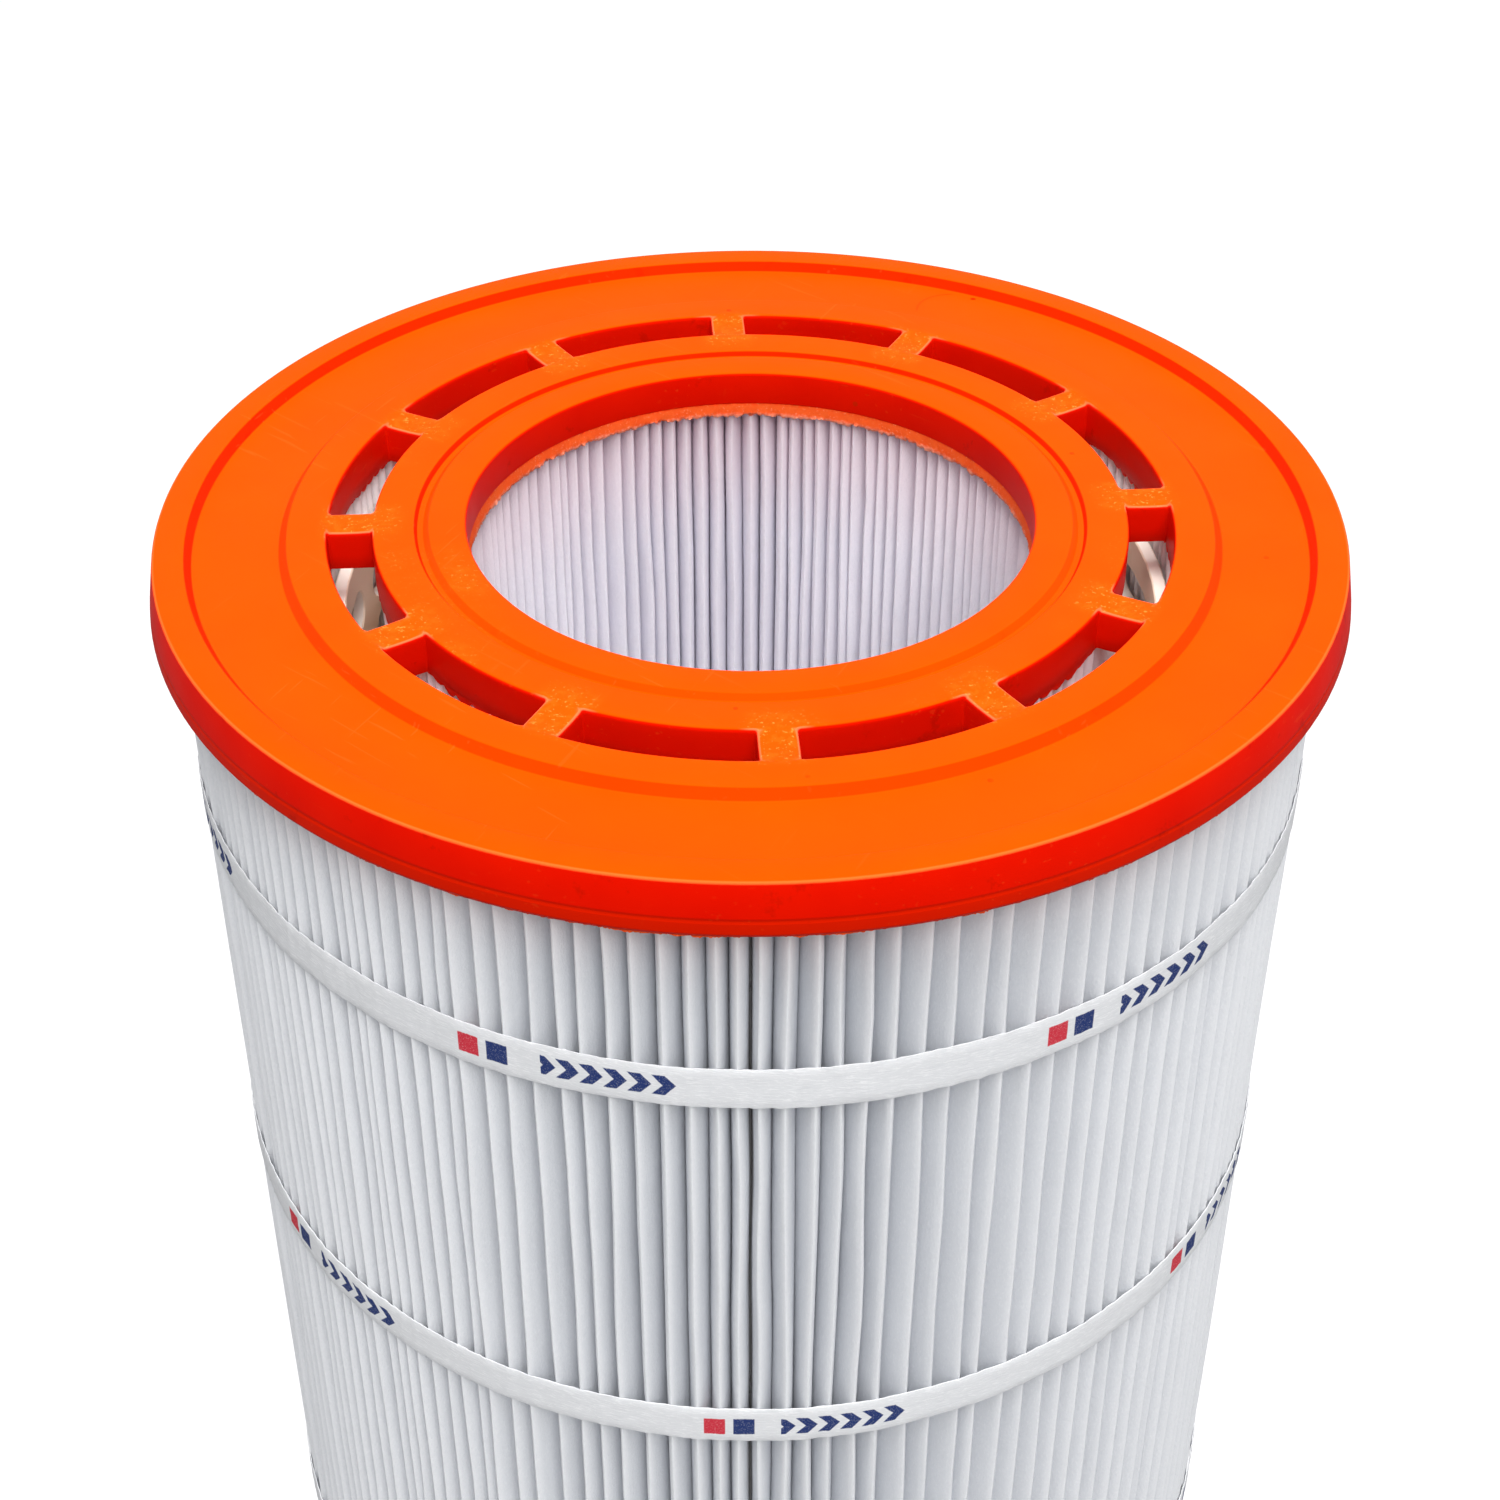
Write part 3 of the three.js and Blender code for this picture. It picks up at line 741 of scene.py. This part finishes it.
    # the rim is painted darker from about 7.4 mm below the lip downwards, where the skirt flares out and faces down:
    # painted shade; a darker line runs along the bend near 8 mm
    drop = m.math("SUBTRACT", TOP * MM, z)
    low = m.math("MULTIPLY", m.ramp(drop, 0.0074, 0.0082), m.ramp(r, 0.120, 0.124))
    colour = m.mix(m.math("MULTIPLY", low, 0.42), colour, (0.48, 0.014, 0.0))
    line = m.math("MULTIPLY", m.math("MULTIPLY", m.ramp(drop, 0.0072, 0.0077), m.ramp(drop, 0.0086, 0.0080)), m.ramp(r, 0.120, 0.124))
    colour = m.mix(m.math("MULTIPLY", line, 0.25), colour, (0.36, 0.006, 0.0))
    # thumbed dirt on the window walls
    smudge = m.math("MULTIPLY", m.ramp(m.noise(pos, 130, 4.0, 0.7), 0.60, 0.70), m.math("SUBTRACT", 1.0, f))
    colour = m.mix(m.math("MULTIPLY", smudge, 0.35), colour, (0.30, 0.004, 0.0))
    # rare dust and nicks
    dust = m.n("ShaderNodeTexVoronoi", Vector=pos, Scale=95.0)
    speck = m.ramp(dust.outputs["Distance"], 0.075, 0.045)
    pick = m.ramp(m.noise(pos, 31, 1.0), 0.60, 0.66)
    speck = m.math("MULTIPLY", speck, pick)
    colour = m.mix(m.math("MULTIPLY", speck, 0.55), colour, (0.42, 0.02, 0.0))
    # fine handling scratches, long and thin
    turned = m.n("ShaderNodeVectorRotate", {"rotation_type": "Z_AXIS"}, Vector=pos, Angle=0.7).outputs[0]
    sx, sy, sz = m.xyz(turned)
    scr = m.ramp(m.noise(m.vec(m.math("MULTIPLY", sx, 0.05), sy, sz), 900, 1.0, 0.4), 0.715, 0.74)
    turned2 = m.n("ShaderNodeVectorRotate", {"rotation_type": "Z_AXIS"}, Vector=pos, Angle=-1.1).outputs[0]
    tx, ty, tz = m.xyz(turned2)
    scr2 = m.ramp(m.noise(m.vec(m.math("MULTIPLY", tx, 0.06), ty, tz), 760, 1.0, 0.4), 0.72, 0.745)
    scratches = m.math("MULTIPLY", m.math("MAXIMUM", scr, scr2), m.ramp(m.noise(pos, 18, 1.0), 0.45, 0.62))
    colour = m.mix(m.math("MULTIPLY", scratches, 0.07), colour, (1.0, 0.22, 0.04))
    rough = m.math("ADD", 0.40, m.math("MULTIPLY", m.noise(pos, 80, 3.0), 0.14))
    rough = m.math("ADD", rough, m.math("MULTIPLY", bubbles_and_glints, -0.12))
    height = m.math("ADD", m.math("MULTIPLY", m.noise(pos, 420, 2.0), 0.25), m.math("MULTIPLY", bubbles_and_glints, 0.8))
    height = m.math("SUBTRACT", height, m.math("MULTIPLY", scratches, 0.25))
    height = m.math("ADD", height, m.math("MULTIPLY", m.noise(pos, 28, 2.0), 1.4))
    nrm = m.bump(height, 0.35, 0.00022)
    return m.finish(Base_Color=colour, Roughness=rough, Normal=nrm, IOR=1.45, Specular_IOR_Level=0.05, Specular_Tint=(1.0, 0.26, 0.02, 1.0))


def soaked_material(name):
    """Fabric ends and squeeze-out at the cast edge: orange, fading to pale pink fibres at the rim."""
    m = Nodes(name)
    pos = m.position()
    x, y, z = m.xyz(pos)
    depth = m.math("SUBTRACT", TOP * MM, z)
    depth = m.math("MINIMUM", m.math("ABSOLUTE", depth), m.math("ABSOLUTE", m.math("SUBTRACT", z, BOT * MM)))
    fibre = m.noise(pos, 1500, 4.0, 0.75)
    edge = m.math("ADD", depth, m.math("MULTIPLY", m.math("SUBTRACT", fibre, 0.5), 0.0022))
    r = m.math("SQRT", m.math("ADD", m.math("MULTIPLY", x, x), m.math("MULTIPLY", y, y)))
    base = m.mix(m.noise(pos, 300, 3.0), (0.83, 0.062, 0.008), (0.86, 0.130, 0.022))
    colour = m.mix(m.ramp(edge, 0.0078, 0.0090), (0.90, 0.02, 0.0), base)
    rim = m.math("MULTIPLY", m.ramp(edge, 0.0104, 0.0122), m.ramp(r, 0.100, 0.080))
    colour = m.mix(rim, colour, (1.0, 0.42, 0.28))
    colour = m.mix(m.math("MULTIPLY", m.ramp(fibre, 0.58, 0.70), 0.55), colour, (1.0, 0.42, 0.24))
    nrm = m.bump(fibre, 0.55, 0.0004)
    return m.finish(Base_Color=colour, Roughness=0.75, Normal=nrm, Specular_IOR_Level=0.05)


def fabric_material(name, inner):
    m = Nodes(name)
    pos = m.position()
    x, y, z = m.xyz(pos)
    ang = m.math("ARCTAN2", y, x)
    # fibres laid mostly along the pleat
    fib = m.noise(m.vec(x, y, m.math("MULTIPLY", z, 0.45)), 1900, 3.0, 0.75)
    web = m.noise(pos, 900, 3.0, 0.65)
    cloud = m.noise(pos, 70, 3.0, 0.55)
    base = m.mix(cloud, (0.775, 0.788, 0.814), (0.822, 0.833, 0.855)) if not inner else m.mix(cloud, (0.83, 0.82, 0.875), (0.885, 0.87, 0.915))
    if not inner:
        # the outermost crests are painted paler than the flanks: a painted highlight on the fold tips
        crest_r = m.math("SQRT", m.math("ADD", m.math("MULTIPLY", x, x), m.math("MULTIPLY", y, y)))
        base = m.mix(m.math("MULTIPLY", m.ramp(crest_r, 0.1228, 0.1245), 0.50), base, (0.90, 0.905, 0.92))
    colour = m.mix(m.math("MULTIPLY", m.ramp(fib, 0.50, 0.72), 0.34), base, (0.95, 0.955, 0.97))
    colour = m.mix(m.math("MULTIPLY", m.ramp(fib, 0.46, 0.30), 0.16), colour, (0.60, 0.63, 0.70))
    # resin wicked into the fabric next to the caps, and a painted pink bounce light from the orange caps
    top_d = m.math("SUBTRACT", TOP * MM, z)
    bot_d = m.math("SUBTRACT", z, BOT * MM)
    d = m.math("MINIMUM", top_d, bot_d)
    jag = m.math("MULTIPLY", m.math("SUBTRACT", m.noise(pos, 480, 4.0, 0.7), 0.5), 0.0036)
    dd = m.math("ADD", d, jag)
    if inner:
        rr = m.math("SQRT", m.math("ADD", m.math("MULTIPLY", x, x), m.math("MULTIPLY", y, y)))
        dd = m.math("ADD", dd, m.ramp(rr, 0.068, 0.078, 0.0, 0.0030))
        soak = m.ramp(dd, 0.0124, 0.0116)
        # painted pink bounce light from the orange cap, fading with distance from it
        cap_bounce_pink = m.ramp(d, 0.050, 0.010)
        colour = m.mix(m.math("MULTIPLY", cap_bounce_pink, 0.16), colour, (0.95, 0.42, 0.45))
    else:
        rr = m.math("SQRT", m.math("ADD", m.math("MULTIPLY", x, x), m.math("MULTIPLY", y, y)))
        dd = m.math("ADD", dd, m.ramp(rr, 0.108, 0.098, 0.0, 0.0042))
        soak = m.ramp(dd, 0.0142, 0.0134)
        # painted pink bounce light from the orange cap, fading with distance from it
        cap_bounce_pink = m.ramp(d, 0.034, 0.012)
        colour = m.mix(m.math("MULTIPLY", cap_bounce_pink, 0.07), colour, (0.98, 0.55, 0.50))
    colour = m.mix(soak, colour, m.mix(fib, (0.86, 0.10, 0.02), (1.0, 0.26, 0.10)))
    h = m.math("ADD", m.math("MULTIPLY", fib, 0.7), m.math("MULTIPLY", web, 0.5))
    nrm = m.bump(h, 0.60, 0.00030)
    return m.finish(Base_Color=colour, Roughness=0.86, Normal=nrm, Specular_IOR_Level=0.10)


def band_material(name, zc, block_deg, wave_deg):
    """White strip with fibres along its length and a generic two-tone block and wave print."""
    m = Nodes(name)
    pos = m.position()
    x, y, z = m.xyz(pos)
    ang = m.math("ARCTAN2", x, m.math("MULTIPLY", y, -1.0))  # zero at the front, growing towards +X
    arc = m.math("MULTIPLY", ang, 125.2)  # mm along the strip
    h = m.math("MULTIPLY", m.math("SUBTRACT", z, zc * MM), 1000.0)
    strip = m.vec(m.math("MULTIPLY", arc, 0.12), h, 0.0)
    slant = m.vec(m.math("MULTIPLY", arc, 0.12), m.math("ADD", h, m.math("MULTIPLY", arc, 0.16)), 1.0)
    fib = m.math("MAXIMUM", m.noise(strip, 3.1, 4.0, 0.7), m.noise(slant, 3.6, 3.0, 0.65))
    fib2 = m.noise(m.vec(m.math("MULTIPLY", arc, 0.05), h, 3.0), 3.0, 3.0, 0.6)
    cloud = m.noise(m.vec(arc, h, 0.0), 0.25, 2.0)
    base = m.mix(cloud, (0.765, 0.773, 0.788), (0.815, 0.822, 0.835))
    colour = m.mix(m.math("MULTIPLY", m.ramp(fib, 0.54, 0.68), 0.75), base, (0.97, 0.973, 0.98))
    colour = m.mix(m.math("MULTIPLY", m.ramp(fib2, 0.47, 0.34), 0.25), colour, (0.58, 0.592, 0.62))
    # print, repeated round the strip
    period = 55.0
    deg = m.math("MULTIPLY", ang, 180.0 / math.pi)

    def local(start):
        shifted = m.math("SUBTRACT", deg, start)
        return m.math("SUBTRACT", shifted, m.math("MULTIPLY", m.math("FLOOR", m.math("DIVIDE", shifted, period)), period))

    def box(v, lo, hi, soft):
        return m.math("MULTIPLY", m.ramp(v, lo - soft, lo + soft), m.ramp(v, hi + soft, hi - soft))

    ink_noise = m.noise(m.vec(arc, h, 7.0), 2.6, 3.0, 0.7)
    blk = local(block_deg)
    wav = local(wave_deg)
    hn = m.math("ADD", h, m.math("MULTIPLY", m.math("SUBTRACT", ink_noise, 0.5), 0.35))
    red = m.math("MULTIPLY", box(blk, 0.1, 2.2, 0.05), box(hn, -2.5, 2.5, 0.12))
    navy_blk = m.math("MULTIPLY", box(blk, 3.0, 5.1, 0.05), box(hn, -2.5, 2.5, 0.12))
    # a run of plain chevrons
    step = 2.2
    lean = m.math("MULTIPLY", m.math("ABSOLUTE", hn), 0.40)
    cell = m.math("ADD", wav, lean)
    cell = m.math("SUBTRACT", cell, m.math("MULTIPLY", m.math("FLOOR", m.math("DIVIDE", cell, step)), step))
    wave = m.math("MULTIPLY", box(cell, 0.25, 1.45, 0.06), box(hn, -2.5, 2.5, 0.12))
    wave = m.math("MULTIPLY", wave, box(m.math("ADD", wav, lean), 0.1, 13.1, 0.05))
    wear = m.ramp(m.noise(m.vec(arc, h, 11.0), 3.4, 3.0, 0.75), 0.36, 0.46, 0.80, 1.0)
    colour = m.mix(m.math("MULTIPLY", red, m.math("MULTIPLY", wear, 0.98)), colour, (0.64, 0.022, 0.045))
    navy = m.math("MAXIMUM", navy_blk, wave)
    colour = m.mix(m.math("MULTIPLY", navy, m.math("MULTIPLY", wear, 0.98)), colour, (0.006, 0.026, 0.150))
    hh = m.math("ADD", m.math("MULTIPLY", fib, 0.8), m.math("MULTIPLY", fib2, 0.5))
    nrm = m.bump(hh, 0.45, 0.00022)
    return m.finish(Base_Color=colour, Roughness=0.72, Normal=nrm, Specular_IOR_Level=0.10)


def core_material(name):
    m = Nodes(name)
    pos = m.position()
    cloud = m.noise(pos, 55, 3.0)
    # cream plastic given a tan cast: partly its own colour, partly painted orange bounce light from the cap
    colour = m.mix(cloud, (0.95, 0.72, 0.52), (0.98, 0.82, 0.65))
    grain = m.noise(pos, 900, 3.0, 0.6)
    colour = m.mix(m.math("MULTIPLY", m.ramp(grain, 0.55, 0.7), 0.15), colour, (0.98, 0.92, 0.82))
    # the cut ends and slot edges are painted paler than the walls: a painted highlight where light from above falls on
    # them
    x, y, z = m.xyz(pos)
    nx, ny, nz = m.xyz(m.normal())
    r = m.math("SQRT", m.math("ADD", m.math("MULTIPLY", x, x), m.math("MULTIPLY", y, y)))
    radial = m.math("ABSOLUTE", m.math("DIVIDE", m.math("ADD", m.math("MULTIPLY", x, nx), m.math("MULTIPLY", y, ny)), r))
    colour = m.mix(m.math("MULTIPLY", m.ramp(radial, 0.80, 0.45), 0.85), colour, (1.0, 0.94, 0.86))
    nrm = m.bump(m.math("ADD", m.math("MULTIPLY", grain, 0.3), m.noise(pos, 140, 2.0)), 0.3, 0.0003)
    rough = m.ramp(cloud, 0.3, 0.7, 0.42, 0.56)
    return m.finish(Base_Color=colour, Roughness=rough, Normal=nrm, Specular_IOR_Level=0.35)


def glue_material(name):
    m = Nodes(name)
    pos = m.position()
    x, y, z = m.xyz(pos)
    blob = m.noise(m.vec(x, y, m.math("MULTIPLY", z, 0.5)), 160, 3.0)
    colour = m.mix(blob, (0.20, 0.19, 0.18), (0.32, 0.31, 0.30))
    nrm = m.bump(blob, 0.7, 0.0008)
    return m.finish(Base_Color=colour, Roughness=m.ramp(blob, 0.3, 0.7, 0.25, 0.5), Normal=nrm)


def floor_material(name):
    """A pale sweep: it glows a little towards the camera, as a lit white backdrop does."""
    m = Nodes(name)
    pos = m.position()
    c = m.mix(m.noise(pos, 3.0, 2.0), (0.27, 0.27, 0.275), (0.29, 0.29, 0.295))
    seen = m.n("ShaderNodeLightPath").outputs["Is Camera Ray"]
    return m.finish(Base_Color=c, Roughness=0.9, Specular_IOR_Level=0.05, Emission_Color=(1.0, 1.0, 1.0, 1.0), Emission_Strength=m.math("MULTIPLY", seen, 0.74))


def dress(ob, mat, slot, *nodes):
    ob.data.materials.clear()
    ob.data.materials.append(mat)
    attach(ob, "root")
    if nodes:
        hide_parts(*nodes)
    return ob


# ------------------------------------------------------------------ pieces
orange = cap_material("cast_polyurethane")
top_cap = dress(cap("top_cap_casting", True, True), orange, "cap_polyurethane", "top_end_cap")
bottom_cap = dress(cap("bottom_cap_casting", False, False), orange, "cap_polyurethane", "bottom_end_cap")

pack_lo, pack_hi = BOT + PLATE + 0.1, TOP - PLATE - 0.1
fab_out = fabric_material("polyester_fabric_outer", False)
fab_in = fabric_material("polyester_fabric_inner", True)
# Folds crowd beside the seam and open out on the seam's right; degrees from the front, then relative spacing.
SPREAD = ((-180, -60, -50, -30, -15, -6, 4, 10, 20, 40, 60, 180), (1.0, 0.88, 0.87, 0.93, 0.96, 1.14, 0.88, 1.05, 1.17, 1.08, 1.02, 1.0))
outer, o_tip, o_rad, o_z = pleats("outer_pleats", 166, PACK_O, PACK_I, pack_lo, pack_hi, 35, 11, True, 0.14, (0.34, 0.17), (1.12, 2.2), 8.5, 1.15, spread=SPREAD)
dress(outer, fab_out, "pleat_fabric", "outer_pleat_pack")
inner, i_tip, i_rad, i_z = pleats("inner_pleats", 114, IPACK_O, IPACK_I, pack_lo, pack_hi, 46, 23, False, 0.13, (0.36, 0.20), (1.05, 1.7), 6.5, 1.45)
dress(inner, fab_in, "pleat_fabric", "inner_pleat_pack")

core_mat = core_material("cream_moulded_plastic")
outer_core = core_grid("outer_core_tube", 88.6, 91.6, BOT + PLATE + 0.4, TOP - 19.2, TOP - 32.3, 13.5, 10.0, 25.5, 185.0, 12, 1.007)
dress(outer_core, core_mat, "core_plastic", "outer_core")
inner_core = core_grid("inner_core_tube", 82.3, 84.7, BOT + PLATE + 0.4, TOP - 38.4, TOP - 50.2, 13.5, 10.0, 25.5, 184.1)
dress(inner_core, core_mat, "core_plastic", "inner_core")

# Each band's print starts at its own place round the strip.
PRINT = [(-27.3, -19.0), (-4.7, 3.0), (11.0, 19.0), (-32.0, -24.0)]
for i in range(4):
    lo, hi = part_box("retaining_band_%d" % (i + 1))
    zc = (lo.z + hi.z) / 2 * 1000
    ob = band("band_strip_%d" % (i + 1), zc, o_tip, o_rad, o_z, 40 + i, 62 + 17 * i)
    dress(ob, band_material("band_print_%d" % (i + 1), zc, *PRINT[i]), "band_fabric", "retaining_band_%d" % (i + 1))

soaked = soaked_material("resin_soaked_edge")
fringe = ragged_ring("top_bore_potting_edge", 61.85, TOP - 7.9, 61.35, TOP - 11.9, 5, 1800, 0.34, 2.0, True, 0.07)
dress(fringe, soaked, "cap_polyurethane")
flash = ragged_ring("top_skirt_flash", FLARE - 0.75, TOP - 11.3, FLARE - 0.95, TOP - 12.15, 6, 2400, 0.20, 0.8, False, 0.10)
dress(flash, soaked, "cap_polyurethane")
flash2 = ragged_ring("bottom_skirt_flash", FLARE - 0.75, BOT + 11.3, FLARE - 0.95, BOT + 12.15, 7, 2400, 0.20, 0.8, False, 0.10)
dress(flash2, soaked, "cap_polyurethane")
pot_o = ragged_ring("window_outer_potting_edge", 91.65, TOP - 9.5, 91.95, TOP - 10.2, 8, 1328, 0.22, 0.30, True, 0.05, 166, 2.2)
dress(pot_o, orange, "cap_polyurethane")
pot_i = ragged_ring("window_inner_potting_edge", 81.95, TOP - 9.5, 81.85, TOP - 10.2, 9, 912, 0.15, 0.18, False, 0.03, 114, 1.5)
dress(pot_i, orange, "cap_polyurethane")


def seam(name, r0, r1, half, seed, side):
    """A bead of seam glue standing between the two end flanks of a pack."""
    rng = np.random.default_rng(seed)
    rows = 90
    z = np.linspace(pack_lo + 0.5, pack_hi - 0.5, rows)
    edge = r1 + (rng.normal(0, 0.12, rows) + 0.35 * np.sin(z / 17 + 1) - 0.35) * (1 if side > 0 else 1)
    sect = []
    for k in range(8):
        a = 2 * math.pi * k / 8
        u = math.cos(a)
        w = math.sin(a) * half * (1 + 0.10 * rng.normal(0, 1, rows))
        rr = (r0 + edge) / 2 + u * (edge - r0) / 2
        sect.append(np.stack([w, -rr, z], -1))
    v = np.stack(sect, 1).reshape(-1, 3)
    k = np.arange(8)
    quads = []
    for i in range(rows - 1):
        quads.append(np.stack([i * 8 + k, i * 8 + (k + 1) % 8, (i + 1) * 8 + (k + 1) % 8, (i + 1) * 8 + k], -1))
    q = np.concatenate(quads)[:, ::-1]
    caps = [[j + 1, j, 0] for j in range(1, 7)]
    o = (rows - 1) * 8
    caps = [[c[1], c[0], c[2]] for c in caps] + [[o + c[0], o + c[1], o + c[2]] for c in caps]
    return make_mesh(name, v, q, np.array(caps), smooth_deg=60)


glue = glue_material("seam_hot_melt")
dress(seam("outer_seam_bead", 108.0, 118.5, 0.42, 31, 1), glue, "seam_glue", "outer_seam_strip")
dress(seam("inner_seam_bead", 74.5, 79.3, 0.40, 32, -1), glue, "seam_glue", "inner_seam_strip")

floor_me = bpy.data.meshes.new("floor")
s = 12.0
floor_me.from_pydata([(-s, -s, 0), (s, -s, 0), (s, s, 0), (-s, s, 0)], [], [(0, 1, 2, 3)])
floor = bpy.data.objects.new("floor", floor_me)
floor.location.z = CAD_LO.z - 0.0005
bpy.context.scene.collection.objects.link(floor)
floor_me.materials.append(floor_material("pale_floor"))
floor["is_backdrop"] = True

# ------------------------------------------------------------------ light and camera
world = bpy.data.worlds.new("studio")
bpy.context.scene.world = world
world.use_nodes = True
bg = world.node_tree.nodes["Background"]
bg.inputs["Color"].default_value = (0.97, 0.985, 1.0, 1.0)
sky = world.node_tree.nodes.new("ShaderNodeLightPath")
level = world.node_tree.nodes.new("ShaderNodeMapRange")  # the camera sees a white backdrop, the object a soft room
level.inputs["To Min"].default_value = 0.46
level.inputs["To Max"].default_value = 0.98
world.node_tree.links.new(sky.outputs["Is Camera Ray"], level.inputs["Value"])
world.node_tree.links.new(level.outputs["Result"], bg.inputs["Strength"])


def softbox(name, loc, target, size, power, colour=(1, 1, 1)):
    data = bpy.data.lights.new(name, "AREA")
    data.shape = "RECTANGLE"
    data.size, data.size_y = size
    data.energy = power
    data.color = colour
    ob = bpy.data.objects.new(name, data)
    ob.location = loc
    d = np.array(target, float) - np.array(loc, float)
    from mathutils import Vector

    ob.rotation_euler = Vector(d).to_track_quat("-Z", "Y").to_euler()
    bpy.context.scene.collection.objects.link(ob)
    return ob


softbox("key_above_camera", (0.34, -1.85, 2.50), (0, 0, 0.44), (1.3, 1.3), 44)
softbox("overhead", (0.05, -0.20, 2.5), (0, 0, 0.45), (1.5, 1.5), 70)

cam_data = bpy.data.cameras.new("camera")
cam_data.sensor_width = 36.0
cam_data.lens = 36.0 * 2537.4 / 1500.0
cam = bpy.data.objects.new("camera", cam_data)
cam.location = (-0.0009 * R * MM, -3.7203 * R * MM, (TOP + 2.2424 * R) * MM)
cam.rotation_euler = (math.radians(90 - 36.545), 0.0, 0.0)
bpy.context.scene.collection.objects.link(cam)
bpy.context.scene.camera = cam
cam_data.clip_start, cam_data.clip_end = 0.02, 60.0

bpy.context.scene.view_settings.view_transform = "Standard"
bpy.context.scene.view_settings.look = "None"
bpy.context.scene.cycles.diffuse_bounces = 8

lo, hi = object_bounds()
